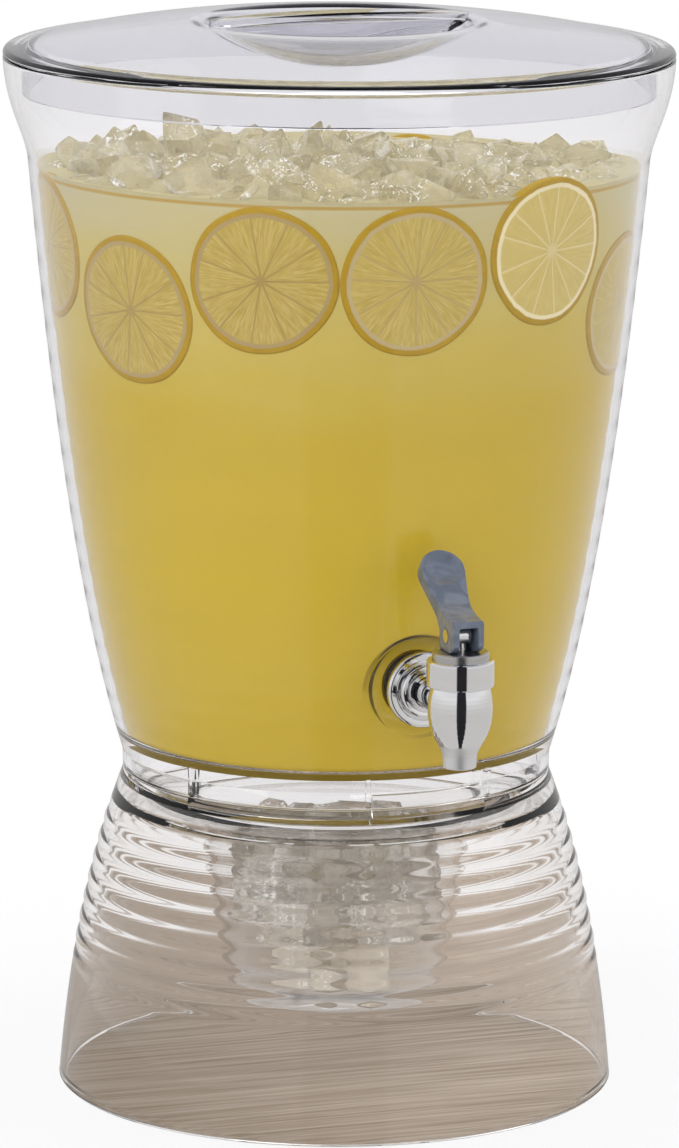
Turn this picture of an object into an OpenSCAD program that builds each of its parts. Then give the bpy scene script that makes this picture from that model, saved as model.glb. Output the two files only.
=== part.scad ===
// Two-tier beverage dispenser: a clear vessel with a tap, standing on a clear
// stand that holds a removable ice cup. Millimetres, +Z up. The origin is the
// centre of the stand's foot, on the table. The tap points along -Y.

/* [Stand] */
// Outer radius of the stand at the table
foot_r = 123; // [118:1:128]
// Height of the stand's top lip
stand_h = 141; // [138:1:142]
// Outer radius of the stand at its top lip
neck_r = 93.8; // [93:0.2:95]
// Wall thickness of the stand
stand_wall = 2.8; // [2.2:0.2:3.4]
// Height of the moulded waves on the stand
stand_wave = 0.4; // [0:0.1:1]

/* [Vessel] */
// Outer radius of the vessel's rim
rim_r = 146; // [144:1:148]
// Height of the rim above the table
rim_z = 456.5; // [454:0.5:458]
// Outer radius of the vessel just under its shoulder
waist_r = 135.4; // [134:0.2:137]
// Wall thickness of the vessel
vessel_wall = 3.2; // [2.8:0.2:4.4]
// Height of the moulded waves on the vessel
vessel_wave = 0.2; // [0:0.1:0.6]
// Thickness of the vessel's floor
floor_t = 3; // [2.6:0.2:4]

/* [Lid] */
// Rise of the lid's dome from its edge to the finger recess
dome_h = 11.2; // [10:0.2:13]
// Radius of the round finger recess
recess_r = 60; // [56:1:64]
// Depth of the finger recess
recess_d = 17.5; // [14:0.5:19]
// Width of the grip bar across the recess
bar_w = 14; // [12:1:18]
// Turn of the lid on the vessel
lid_turn = 0; // [-180:5:180]

/* [Ice cup] */
// Outer radius of the ice cup at its mouth
cup_r = 63.5; // [60:0.5:66]
// Height of the ice cup's underside above the table
cup_z = 31.5; // [28:0.5:36]
// Wall thickness of the ice cup
cup_wall = 2.5; // [2:0.5:3]

/* [Tap] */
// Height of the tap's shank above the table
tap_z = 198; // [194:1:202]
// Distance of the tap's upright axis from the vessel's axis
tap_y = 158; // [154:1:162]
// Widest radius of the tap's body
bulb_r = 13.7; // [13.2:0.1:14.4]
// Width of the lever's yoke
yoke_w = 13.8; // [13:0.2:15]
// Rise of the valve for each radian of lever travel
cam_rise = 3.5; // [2.5:0.1:3.6]
// Full travel of the lever in degrees
lever_travel = 50; // [35:5:50]

/* [Contents] */
// Height of the drink's surface above the table
drink_z = 408.5; // [380:0.5:409]
// Radius of a lemon slice
slice_r = 29.5; // [26:0.5:29.5]
// Longest side of an ice cube
cube_a = 16; // [12:1:16]

/* [Hidden] */
$fn = 128;

clear_tint = [0.85, 0.84, 0.9, 0.35];
ice_tint = [0.9, 0.92, 0.93, 0.6];
chrome_tint = [0.82, 0.83, 0.85];
seal_tint = [0.75, 0.75, 0.76];

seat_gap = 0.1;    // daylight left between parts that rest on each other
slip_gap = 0.5;    // radial play of a part that drops into another
run_gap = 0.06;    // radial play of a turning or sliding fit

// ---- Shared outlines -------------------------------------------------------

// Points along a cubic curve p at steps from 0 to steps.
function curve(p, steps) = [for (i = [0:steps]) let (t = i / steps, u = 1 - t)
    u * u * u * p[0] + 3 * u * u * t * p[1] + 3 * u * t * t * p[2] + t * t * t * p[3]];

// Points on an arc from angle a to angle b.
function arc(centre, r, a, b, steps) = [for (i = [0:steps])
    let (t = a + (b - a) * i / steps) centre + r * [cos(t), sin(t)]];

function reversed(list) = [for (i = [len(list) - 1:-1:0]) list[i]];

// 0 below a, 1 above b and smooth between them.
function fade(a, b, x) = let (t = min(max((x - a) / (b - a), 0), 1)) t * t * (3 - 2 * t);

// ---- Stand -----------------------------------------------------------------

stand_lip_r = neck_r - 4.6;    // inside of the top lip
lip_z = stand_h - 5;           // underside of the top lip
ledge_z = 129;                 // top of the ledge that carries the ice cup
ledge_r = 78;
ledge_t = 2.5;
foot_t = 3.5;                  // thickness of the foot's edge
stand_pitch = 9;               // height of one wave
stand_curve = [[foot_r, 0], [foot_r - 4, 50], [neck_r + 15.8, 101], [neck_r, stand_h]];

// The waves run over the upper part of the stand and fade out at both ends.
function stand_ripple(z) = stand_wave * fade(48, 70, z) * (1 - fade(118, 128, z))
    * cos(360 * z / stand_pitch);

// Radial outline of the stand, moved inwards by inset.
function stand_side(inset) = [for (p = curve(stand_curve, 80))
    [p[0] - inset + stand_ripple(p[1]), p[1]]];

tab_in_r = 85.5;      // inside of the four tabs that centre the vessel
tab_out_r = stand_lip_r - 0.2;
tab_rise = 6;
tab_span = 35;        // degrees covered by one tab
tab_start = -99;      // direction of the first tab's edge, from +X
rib_t = 2;            // thickness of the vessel's locating ribs

module stand_tab() {
    rotate([0, 0, tab_start])
        rotate_extrude(angle = tab_span)
            polygon([[tab_in_r, lip_z], [stand_lip_r + 1, lip_z], [stand_lip_r + 1, stand_h - 1],
                [tab_out_r, stand_h - 1], [tab_out_r, stand_h + tab_rise],
                [tab_in_r, stand_h + tab_rise]]);
}

module stand() color(clear_tint) {
    outer = stand_side(0);
    inner_below = [for (p = stand_side(stand_wall)) if (p[1] > 3 && p[1] < ledge_z - ledge_t - 1) p];
    inner_above = [for (p = stand_side(stand_wall)) if (p[1] > ledge_z + 0.5 && p[1] < lip_z - 1) p];
    r_below = inner_below[len(inner_below) - 1][0];
    rotate_extrude()
        polygon(concat(outer, [[stand_lip_r, stand_h], [stand_lip_r, lip_z]],
            reversed(inner_above), [[inner_above[0][0], ledge_z], [ledge_r, ledge_z],
            [ledge_r, ledge_z - ledge_t], [r_below, ledge_z - ledge_t]],
            reversed(inner_below), [[foot_r - foot_t, 1.5], [foot_r - foot_t + 0.6, 0]]));
    for (quarter = [0:3])
        rotate([0, 0, 90 * quarter])
            stand_tab();
}

// ---- Ice cup ---------------------------------------------------------------

cup_rest_z = ledge_z + seat_gap;     // underside of the cup's flange
cup_flange_r = 84.5;
cup_flange_t = 2.4;
cup_lip_h = 6;                       // height of the flange's turned-up edge
cup_side = [[cup_r, cup_rest_z], [cup_r - 8, 92], [cup_r - 11, 70], [cup_r - 14, cup_z + 26]];
cup_base = [[cup_r - 14, cup_z + 26], [cup_r - 17, cup_z + 8], [cup_r - 24, cup_z], [0, cup_z]];

// The cup's outline from its mouth to its centre, moved inwards by inset.
function cup_outline(inset) = [for (p = concat(curve(cup_side, 10), curve(cup_base, 10)))
    [max(p[0] - inset, 0), max(p[1], cup_z + inset)]];

module ice_cup() color(clear_tint) {
    outer = [for (p = cup_outline(0)) if (p[0] > 0.5) p];
    inner = [for (p = cup_outline(cup_wall)) if (p[0] > 0.5 && p[1] > cup_z + cup_wall + 0.3) p];
    top_z = cup_rest_z + cup_flange_t;
    rotate_extrude()
        polygon(concat(
            [[0, cup_z]], reversed(outer),
            [[cup_flange_r, cup_rest_z], [cup_flange_r, cup_rest_z + cup_lip_h],
            [cup_flange_r - 2.2, cup_rest_z + cup_lip_h], [cup_flange_r - 2.2, top_z],
            [cup_r - cup_wall + 1.5, top_z]],
            inner, [[inner[len(inner) - 1][0] - 3, cup_z + cup_wall], [0, cup_z + cup_wall]]));
}

// ---- Vessel ----------------------------------------------------------------

foot_z = stand_h + seat_gap;          // underside of the vessel's foot ring
foot_out_r = neck_r + 0.6;
foot_in_r = stand_lip_r + 0.3;
floor_z = 154.4;                      // underside of the floor
side_z = 149;                         // where the sloping side starts
inside_z = floor_z + floor_t;         // where the drink starts
waist_z = 412;                        // where the shoulder starts
rim_wall = 5;                         // the wall thickens towards the rim
rim_in_r = rim_r - rim_wall;
side_curve = [[foot_out_r + 0.2, side_z], [foot_out_r + 18.9, 209],
    [waist_r - 9.9, 302], [waist_r, waist_z]];
shoulder_curve = [[waist_r, waist_z], [waist_r + 1.6, waist_z + 12],
    [rim_r - 1, waist_z + 22], [rim_r, waist_z + 43]];

// The waves grow from pitch_low at the floor to pitch_high at the shoulder.
pitch_low = 10.5;
pitch_high = 16;
pitch_gain = (pitch_high - pitch_low) / (waist_z - side_z - 0.5);
function wave_turns(z) = ln((pitch_low + pitch_gain * (z - side_z - 0.5)) / pitch_low) / pitch_gain;
function vessel_ripple(z) = vessel_wave * fade(155, 172, z) * (1 - fade(396, 412, z))
    * cos(360 * wave_turns(z));

// Radial outline of the vessel's side, moved inwards by inset, with waves of the given share.
function vessel_side(inset, wave) = [for (p = curve(side_curve, 96))
    [p[0] - inset + wave * vessel_ripple(p[1]), p[1]]];
function vessel_shoulder(inset, more) = [for (p = curve(shoulder_curve, 10))
    [p[0] - inset - more * fade(waist_z, waist_z + 43, p[1]), p[1]]];

boss_r = 22;               // flat round boss around the tap's hole
boss_y = 110;              // its outer face
boss_in_y = 100.5;         // its inner face
boss_back_r = 24.5;        // thickening behind the wall that carries the boss
boss_pocket_r = 17;
shank_r = 6.75;
hole_r = shank_r + 0.25;

// A cylinder lying along -Y at the tap's height, from distance a to distance b.
module tap_bar(a, b, r) {
    translate([0, -a, tap_z])
        rotate([90, 0, 0])
            cylinder(h = b - a, r = r);
}

// A pair of ribs that stand beside one of the stand's tabs.
module locating_ribs() {
    for (edge = [tab_start - 1.2, tab_start + tab_span + 1.2])
        rotate([0, 0, edge])
            translate([tab_in_r, -rib_t / 2, foot_z + 0.5])
                cube([foot_in_r - tab_in_r + 1, rib_t, floor_z - foot_z]);
}

module vessel() color(clear_tint) {
    inner = [for (p = vessel_side(vessel_wall, 1)) if (p[1] > inside_z + 5) p];
    corner = curve([[inner[0][0] - 5.5, inside_z], [inner[0][0] - 2, inside_z],
        [inner[0][0] - 0.6, inside_z + 2], inner[0]], 5);
    difference() {
        union() {
            rotate_extrude()
                polygon(concat(
                    [[0, floor_z], [foot_in_r, floor_z], [foot_in_r, foot_z], [foot_out_r, foot_z]],
                    vessel_side(0, 1), [for (p = vessel_shoulder(0, 0)) if (p[1] > waist_z + 1) p],
                    [[rim_r, rim_z], [rim_in_r, rim_z]],
                    reversed([for (p = vessel_shoulder(vessel_wall, rim_wall - vessel_wall))
                        if (p[1] > waist_z + 1) p]),
                    reversed(inner), reversed([for (i = [0:4]) corner[i]]), [[0, inside_z]]));
            for (quarter = [0:3])
                rotate([0, 0, 90 * quarter])
                    locating_ribs();
            tap_bar(boss_in_y, boss_y, boss_r);
            intersection() {
                rotate_extrude()
                    polygon(concat([[boss_in_y - 20, tap_z - boss_back_r - 8]],
                        [for (p = vessel_side(vessel_wall / 2, 0))
                            if (abs(p[1] - tap_z) < boss_back_r + 6) p],
                        [[boss_in_y - 20, tap_z + boss_back_r + 8]]));
                tap_bar(boss_in_y, boss_y + 4, boss_back_r);
            }
        }
        tap_bar(boss_y, boss_y + 20, boss_r);
        tap_bar(boss_in_y - 20, boss_in_y, boss_pocket_r);
        tap_bar(boss_in_y - 20, boss_y + 5, hole_r);
    }
}

// ---- Contents --------------------------------------------------------------

drink_gap = 0.6;              // play between the drink and the vessel's wall
slice_t = 5;
slice_gap = 1.2;              // play between a slice and the vessel's wall
pocket_gap = 0.5;             // play between a slice and the drink around it
nut_room_r = 15;              // room in the drink for the nut behind the tap
// Direction from -Y towards +X, and height, of each lemon slice.
slices = [[-92, 378], [-62.5, 361], [-33.6, 376], [-4.6, 376], [24.4, 385], [52, 354],
    [83, 374], [114, 364], [145, 379], [177, 361], [208, 377], [239, 363]];

// The part of a band inside the wall that lies within a round cutter at one slice's place.
module wall_disc(place, r, inset, depth) {
    intersection() {
        rotate_extrude()
            polygon(concat(
                [for (p = vessel_side(vessel_wall + inset + depth, 0)) if (p[1] > 320) p],
                reversed([for (p = vessel_side(vessel_wall + inset, 0)) if (p[1] > 320) p])));
        rotate([0, 0, place[0]])
            translate([0, -80, place[1]])
                rotate([90, 0, 0])
                    cylinder(h = 80, r = r);
    }
}

module lemon_slices() color([0.93, 0.83, 0.42])
    for (place = slices)
        wall_disc(place, slice_r, slice_gap, slice_t);

module beverage() color([0.87, 0.76, 0.38, 0.9]) {
    side = [for (p = vessel_side(vessel_wall + drink_gap, 1))
        if (p[1] > inside_z + 6 && p[1] < drink_z - 1) p];
    difference() {
        rotate_extrude()
            polygon(concat([[0, inside_z + drink_gap], [side[0][0] - 6, inside_z + drink_gap]],
                side, [[side[len(side) - 1][0], drink_z], [0, drink_z]]));
        for (place = slices)
            wall_disc(place, slice_r + pocket_gap, slice_gap - 1.1, slice_t + pocket_gap + 1.1);
        tap_bar(boss_in_y - drink_gap, 120, boss_back_r + drink_gap);
        tap_bar(shank_in_y - 4, 120, nut_room_r);
    }
}

// One ice cube with its centre at p, turned by three angles that depend on i.
module ice_cube(p, i) {
    translate(p)
        rotate([37 * i % 180, 71 * i % 180, 113 * i % 180])
            cube([cube_a, cube_a - 1, cube_a - 3], center = true);
}

cube_pitch = cube_a * 1.63;     // centres this far apart leave turned cubes clear of each other
ice_z = drink_z + 13.2;

// Points of a triangular grid no further than reach from the axis.
function grid(pitch, reach) = [for (row = [-8:8], col = [-8:8])
    let (p = [(col + (row % 2 == 0 ? 0 : 0.5)) * pitch, row * pitch * sin(60)])
    if (norm(p) <= reach) p];

module floating_ice() color(ice_tint) {
    places = grid(cube_pitch * 1.08, waist_r - vessel_wall - 15);
    for (i = [0:len(places) - 1])
        ice_cube([places[i][0], places[i][1], ice_z], i + 1);
}

module cup_ice() color(ice_tint)
    for (layer = [0:3]) {
        places = grid(cube_pitch, layer < 3 ? 27 : 46);
        for (i = [0:len(places) - 1])
            rotate([0, 0, 17 * layer])
                ice_cube([places[i][0], places[i][1], cup_z + 16.5 + layer * cube_pitch],
                    i + 7 * layer + 3);
    }

// ---- Lid -------------------------------------------------------------------

lid_z = rim_z + 0.5;           // underside of the lid's flange
lid_edge_t = 2.9;              // thickness of the flange at its rounded edge
lid_t = 3;
dome_r = rim_r - 6;            // where the dome meets the rounded rim
dome_z = lid_z + 3.2;
skirt_r = rim_in_r - 3.5;
skirt_t = 2.8;
edge_r = 2.6;                  // rounding of the flange's edge
skirt_z = lid_z - 15.1;
bowl_top_z = dome_z + dome_h;
bowl_r = (recess_r * recess_r + recess_d * recess_d) / (2 * recess_d);
bowl_z = bowl_top_z - recess_d + bowl_r;      // centre of the bowl's sphere
bar_l = 2 * recess_r - 2;                     // length of the grip bar
bar_rise = 3.6;                               // middle of the bar above the recess edge
bar_arch = 2.6;                               // fall of the bar's top from middle to end
grip_wall = 2.5;

function dome(r) = dome_z + dome_h * (1 - pow((r - recess_r) / (dome_r - recess_r), 1.6));
function bar_top(r) = bowl_top_z + bar_rise - bar_arch * pow(r / recess_r, 2);
function bowl(r) = bowl_z - sqrt(bowl_r * bowl_r - r * r);

// The dome from the recess to radius far, dropped by drop.
function dome_line(far, drop, steps) = [for (i = [0:steps])
    let (r = recess_r + 3.5 + (far - recess_r - 3.5) * i / steps) [r, dome(r) - drop]];
function bowl_line(near, drop, steps) = [for (i = [0:steps])
    let (r = (recess_r - near) * i / steps) [r, bowl(r) - drop]];

// The rounded edge between the bowl and the dome.
recess_edge = curve([[recess_r - 2.5, bowl(recess_r - 2.5)], [recess_r - 1, bowl(recess_r - 2.5) + 0.9],
    [recess_r + 1, bowl_top_z], [recess_r + 3.5, dome(recess_r + 3.5)]], 6);

// Outline of the grip bar seen from above, with its ends rounded.
module bar_plan(w, l) {
    square([l - w, w], center = true);
    for (side = [-1, 1])
        translate([side * (l - w) / 2, 0])
            circle(d = w);
}

module lid_shell() {
    rotate_extrude()
        polygon(concat(
            bowl_line(2.5, 0, 14), [for (i = [1:5]) recess_edge[i]], dome_line(dome_r, 0, 14),
            arc([rim_r - edge_r, lid_z + lid_edge_t - edge_r], edge_r, 80, 0, 6),
            [[rim_r, lid_z], [skirt_r, lid_z], [skirt_r, skirt_z],
            [skirt_r - skirt_t, skirt_z], [skirt_r - skirt_t, dome(skirt_r - skirt_t) - lid_t]],
            reversed(dome_line(skirt_r - skirt_t - 3, lid_t, 12)), reversed(bowl_line(2, lid_t, 12))));
}

// A bar standing in the recess, from height low up to its arched top dropped by drop.
module grip_block(w, l, low, drop) {
    intersection() {
        translate([0, 0, low])
            linear_extrude(height = 60)
                bar_plan(w, l);
        rotate_extrude()
            polygon(concat([[0, low - 1], [recess_r, low - 1]],
                [for (i = [8:-1:0]) let (r = recess_r * i / 8) [r, bar_top(r) - drop]]));
    }
}

module lid() color(clear_tint)
    rotate([0, 0, lid_turn])
        difference() {
            union() {
                lid_shell();
                difference() {
                    grip_block(bar_w, bar_l, bowl(0) - lid_t / 2, 0);
                    rotate_extrude()
                        polygon(concat([for (p = bowl_line(0, lid_t / 2, 14)) p],
                            [[recess_r, bowl(0) - 10], [0, bowl(0) - 10]]));
                }
            }
            grip_block(bar_w - 2 * grip_wall, bar_l - 2 * grip_wall, bowl(0) - 12, lid_t);
        }

// ---- Tap: fixed parts ------------------------------------------------------

gasket_t = 2;
flange_y = boss_y + gasket_t + seat_gap;
flange_r = 16.5;
nut_across = 22;
nut_t = 8;
shank_in_y = 88;            // inner end of the shank
bore_r = 4.5;               // water way
thread_pitch = 1.5;
chamber_r = 8.5;            // valve chamber
seat_z = tap_z - 10;        // flat seat that the valve closes on
outlet_r = 5;
spout_r = 7;
spout_z = tap_z - 24;       // tip of the spout
shoulder_z = tap_z + 11;    // top of the bulb
neck_top_z = tap_z + 19;
tap_neck_r = 11;
ring_r = 14.25;             // bonnet ring
ring_top_z = tap_z + 22.6;
cap_r = 12;
cap_top_z = tap_z + 26;
stem_r = 2.5;

module tap_turned(y) {
    translate([0, -y, tap_z])
        rotate([90, 0, 0])
            rotate_extrude()
                children();
}

module upright(y) {
    translate([0, -y, 0])
        rotate_extrude()
            children();
}

module outer_gasket() color(seal_tint)
    tap_turned(boss_y + seat_gap / 2)
        translate([hole_r, 0])
            square([13.5 - hole_r, gasket_t]);

module inner_gasket() color(seal_tint)
    tap_turned(boss_in_y - gasket_t - seat_gap / 2)
        translate([hole_r, 0])
            square([13.5 - hole_r, gasket_t]);

// Chrome escutcheon: a rounded disc, a dished groove and a raised hub.
module wall_flange() color(chrome_tint)
    tap_turned(flange_y)
        polygon(concat([[hole_r, 0], [flange_r - 0.5, 0], [flange_r, 0.5]],
            arc([flange_r - 1.6, 2], 1.6, 0, 90, 6),
            curve([[flange_r - 3.2, 3.4], [flange_r - 4, 1.8], [flange_r - 4.6, 2.2], [flange_r - 5, 4.8]], 6),
            arc([flange_r - 6.2, 5], 1.2, 0, 90, 4), curve([[9.2, 6], [8.6, 4.6], [8.4, 5.4], [8.2, 8]], 5),
            [[hole_r, 8]]));

module shank_nut() color("white")
    translate([0, -(boss_in_y - gasket_t - 2 * seat_gap), tap_z])
        rotate([-90, 0, 0])
            difference() {
                union() {
                    rotate([0, 0, 30])
                        cylinder(h = nut_t, d = nut_across / cos(30), $fn = 6);
                    cylinder(h = 1.6, r = nut_across / 2 + 1.4);
                }
                translate([0, 0, -1])
                    cylinder(h = nut_t + 2, r = hole_r);
            }

// The tube that carries the drink through the wall, with its inner end threaded.
module spigot_shank() color(chrome_tint)
    tap_turned(shank_in_y)
        polygon(concat(
            [[bore_r, 0], [shank_r - 0.8, 0]],
            [for (i = [0:16]) [shank_r - (i % 2 == 0 ? 0.6 : 0), 0.6 + i * thread_pitch / 2]],
            [[shank_r, 16], [shank_r, tap_y - chamber_r + 0.6 - shank_in_y],
            [bore_r, tap_y - chamber_r + 0.6 - shank_in_y]]));

// Outside of the bulb from the spout's tip to its shoulder.
bulb_line = concat([[outlet_r, spout_z], [spout_r - 0.4, spout_z], [spout_r, spout_z + 0.4]],
    curve([[spout_r + 0.2, spout_z + 5], [spout_r + 0.8, spout_z + 10],
        [bulb_r, spout_z + 13], [bulb_r, tap_z + 1.5]], 10),
    curve([[bulb_r, tap_z + 1.5], [bulb_r, tap_z + 6], [bulb_r - 0.8, shoulder_z - 2],
        [bulb_r - 1.4, shoulder_z]], 6));

module spigot_body() color(chrome_tint)
    difference() {
        upright(tap_y)
            polygon(concat(bulb_line,
                [[tap_neck_r, shoulder_z], [tap_neck_r, neck_top_z], [chamber_r, neck_top_z],
                [chamber_r, seat_z], [outlet_r, seat_z]]));
        tap_bar(tap_y - 20, tap_y - 5, shank_r + run_gap);
    }

module bonnet_ring() color(chrome_tint)
    upright(tap_y)
        polygon(concat([[tap_neck_r + run_gap, shoulder_z + seat_gap], [ring_r - 0.8, shoulder_z + seat_gap]],
            arc([ring_r - 0.7, shoulder_z + 0.8], 0.7, -90, 0, 4),
            arc([ring_r - 1.2, ring_top_z - 1.2], 1.2, 0, 90, 5),
            [[cap_r + seat_gap, ring_top_z], [cap_r + seat_gap, neck_top_z + seat_gap],
            [tap_neck_r + run_gap, neck_top_z + seat_gap]]));

module bonnet_cap() color(chrome_tint)
    upright(tap_y)
        polygon(concat([[stem_r + run_gap, neck_top_z + seat_gap], [cap_r, neck_top_z + seat_gap]],
            arc([cap_r - 1, cap_top_z - 1], 1, 0, 90, 5), [[stem_r + run_gap, cap_top_z]]));

// ---- Tap: moving parts -----------------------------------------------------

pin_z = cap_top_z + 6.7;       // the lever's pivot
pin_rise = pin_z - cap_top_z;
pin_r = 1.5;
pin_head_r = 2.9;
pin_head_t = 0.7;
eye_r = 4;
eye_w = 6.6;
plug_r = 7.4;
plug_t = 4.5;
tip_r = 1.6;
collar_r = 5.6;
collar_t = 2;
plug_z = seat_z + seat_gap;
collar_z = plug_z + plug_t + seat_gap;

module valve_plug() color("dimgray")
    upright(tap_y)
        polygon([[0, plug_z], [plug_r - 0.8, plug_z], [plug_r, plug_z + 0.8], [plug_r, plug_z + plug_t],
            [tip_r + run_gap, plug_z + plug_t], [tip_r + run_gap, plug_z + 1.5], [0, plug_z + 1.5]]);

module valve_stem() color("white")
    difference() {
        union() {
            upright(tap_y)
                polygon([[0, plug_z + 1.6], [tip_r, plug_z + 1.6], [tip_r, collar_z], [collar_r, collar_z],
                    [collar_r, collar_z + collar_t], [stem_r, collar_z + collar_t], [stem_r, pin_z], [0, pin_z]]);
            translate([-eye_w / 2, -tap_y, pin_z])
                rotate([0, 90, 0])
                    cylinder(h = eye_w, r = eye_r);
        }
        translate([-eye_w, -tap_y, pin_z])
            rotate([0, 90, 0])
                cylinder(h = 2 * eye_w, r = pin_r + run_gap / 2);
    }

spring_z = collar_z + collar_t + seat_gap;
spring_h = neck_top_z + seat_gap - spring_z - seat_gap;
wire_r = 0.6;
coil_r = 5;
coils = 6;
wire_sides = 8;
coil_steps = 96;

// Centre of the spring's wire at share t of its length, measured from the tap's axis.
function coil_point(t) = [coil_r * cos(360 * coils * t), coil_r * sin(360 * coils * t),
    spring_z + wire_r + t * (spring_h - 2 * wire_r)];

module valve_spring() color("silver") {
    rings = [for (i = [0:coil_steps]) let (t = i / coil_steps, c = coil_point(t), a = 360 * coils * t)
        for (k = [0:wire_sides - 1]) let (b = 360 * k / wire_sides)
            c + wire_r * (cos(b) * [cos(a), sin(a), 0] + sin(b) * [0, 0, 1])];
    sides = [for (i = [0:coil_steps - 1], k = [0:wire_sides - 1])
        let (m = (k + 1) % wire_sides, a = i * wire_sides)
        [a + k, a + wire_sides + k, a + wire_sides + m, a + m]];
    first = [for (k = [0:wire_sides - 1]) k];
    last = [for (k = [wire_sides - 1:-1:0]) coil_steps * wire_sides + k];
    translate([0, -tap_y, 0])
        polyhedron(rings, concat(sides, [first, last]), convexity = 10);
}

module pivot_pin() color(chrome_tint)
    translate([0, -tap_y, pin_z])
        rotate([0, 90, 0]) {
            cylinder(h = yoke_w - 2 * pin_head_t, r = pin_r, center = true);
            for (side = [-1, 1])
                translate([0, 0, side * (yoke_w - pin_head_t) / 2])
                    cylinder(h = pin_head_t, r = pin_head_r, center = true);
        }

yoke_back = 7.6;               // from the pivot to the yoke's back face
yoke_front = 10;
yoke_top = 7.3;
window_w = 8.3;                // slot for the stem's eye
window_top = 4.6;
heel_gap = 0.08;               // daylight under the heel
head_y = 22;                   // centre of the thumb pad from the pivot
head_z = 24;
head_tilt = 45;                // slope of the thumb pad
pad_r = 9.75;
pad_t = 6.5;
dish_r = 18;
dish_d = 2;

// Heel of the lever, seen from its side with y towards the vessel. Its distance from the
// pivot grows by cam_rise for each radian, so the valve rises evenly as the lever turns.
heel_rise = pin_rise - heel_gap;
function heel_point(a) = let (h = heel_rise + cam_rise * a * PI / 180)
    [-h * sin(a) - cam_rise * cos(a), -h * cos(a) + cam_rise * sin(a)];
function heel_line(steps) = [for (i = [0:steps]) heel_point(lever_travel * i / steps)];
heel_end = heel_point(lever_travel);
heel_front = [-yoke_front, heel_end[1] + (yoke_front + heel_end[0]) * tan(lever_travel)];

// A point of the head in the side view: along is measured up the pad, under below its face.
function head_point(along, under) = [head_y, head_z]
    + along * [cos(head_tilt), sin(head_tilt)] + under * [sin(head_tilt), -cos(head_tilt)];

module lever_side() {
    polygon(concat([[yoke_back, -heel_rise]], heel_line(8), [heel_front],
        [[-yoke_front, yoke_top - 1]],
        curve([[1 - yoke_front, yoke_top], [0, yoke_top + 0.3], [8, 10.5], head_point(-11.5, 0)], 6),
        [head_point(11.5, 0), head_point(11.5, pad_t)],
        curve([head_point(2, pad_t), head_point(-7, pad_t), [12, 8], [yoke_back, 1]], 6)));
}

// Block that trims the lever square to its pad: a round head on a neck as wide as the yoke.
module lever_plan(h) {
    cylinder(h = h, r = pad_r, center = true);
    linear_extrude(height = h, center = true)
        polygon([[-pad_r * 0.97, -pad_r * 0.24], [pad_r * 0.97, -pad_r * 0.24], [yoke_w / 2, -20],
            [yoke_w / 2, -60], [-yoke_w / 2, -60], [-yoke_w / 2, -20]]);
}

module lever() color([0.42, 0.48, 0.55])
    translate([0, -tap_y, pin_z])
        difference() {
            intersection() {
                rotate([90, 0, 90])
                    linear_extrude(height = 2 * pad_r + 1, center = true)
                        lever_side();
                translate([0, head_y, head_z])
                    rotate([head_tilt, 0, 0])
                        lever_plan(120);
            }
            translate([0, head_y, head_z])
                rotate([head_tilt, 0, 0])
                    translate([0, 0, dish_r - dish_d])
                        sphere(r = dish_r);
            translate([-window_w / 2, -2 * yoke_front, -2 * pin_rise])
                cube([window_w, 2 * yoke_front + window_top, 2 * pin_rise + window_top]);
            rotate([0, 90, 0]) {
                cylinder(h = 2 * yoke_w, r = pin_r + run_gap, center = true);
                for (side = [-1, 1])
                    translate([0, 0, side * yoke_w / 2])
                        cylinder(h = 2 * (pin_head_t + seat_gap), r = pin_head_r + slip_gap, center = true);
            }
        }

stand();
ice_cup();
cup_ice();
vessel();
beverage();
lemon_slices();
floating_ice();
lid();
outer_gasket();
inner_gasket();
wall_flange();
shank_nut();
spigot_shank();
spigot_body();
bonnet_ring();
bonnet_cap();
valve_plug();
valve_stem();
valve_spring();
lever();
pivot_pin();
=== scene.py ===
import math
import random

import bmesh
import bpy
import numpy as np
from mathutils import Matrix, Vector


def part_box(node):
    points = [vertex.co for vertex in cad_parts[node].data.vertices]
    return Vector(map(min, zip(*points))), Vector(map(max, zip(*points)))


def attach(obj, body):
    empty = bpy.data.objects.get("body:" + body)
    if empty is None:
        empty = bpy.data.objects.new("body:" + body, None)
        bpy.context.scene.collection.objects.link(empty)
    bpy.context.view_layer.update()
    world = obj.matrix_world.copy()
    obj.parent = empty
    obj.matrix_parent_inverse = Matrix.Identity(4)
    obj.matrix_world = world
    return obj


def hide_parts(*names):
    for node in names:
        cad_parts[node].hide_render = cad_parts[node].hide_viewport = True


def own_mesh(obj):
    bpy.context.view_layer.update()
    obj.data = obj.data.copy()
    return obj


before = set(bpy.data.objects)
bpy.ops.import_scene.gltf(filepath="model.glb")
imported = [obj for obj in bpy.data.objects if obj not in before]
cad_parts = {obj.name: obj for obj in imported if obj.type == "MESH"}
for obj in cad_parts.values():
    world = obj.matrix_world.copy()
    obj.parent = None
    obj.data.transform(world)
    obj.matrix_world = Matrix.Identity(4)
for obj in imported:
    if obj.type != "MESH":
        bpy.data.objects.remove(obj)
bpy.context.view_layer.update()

MM = 0.001
scene = bpy.context.scene


# ---- Sizes, worked out from the frame (millimetres) --------------------------------------

def box_mm(node):
    low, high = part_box(node)
    return np.array(low) / MM, np.array(high) / MM


vessel_low, vessel_high = box_mm("vessel")
lid_low, lid_high = box_mm("lid")
cup_low, cup_high = box_mm("ice_cup")
body_low, body_high = box_mm("spigot_body")

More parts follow.
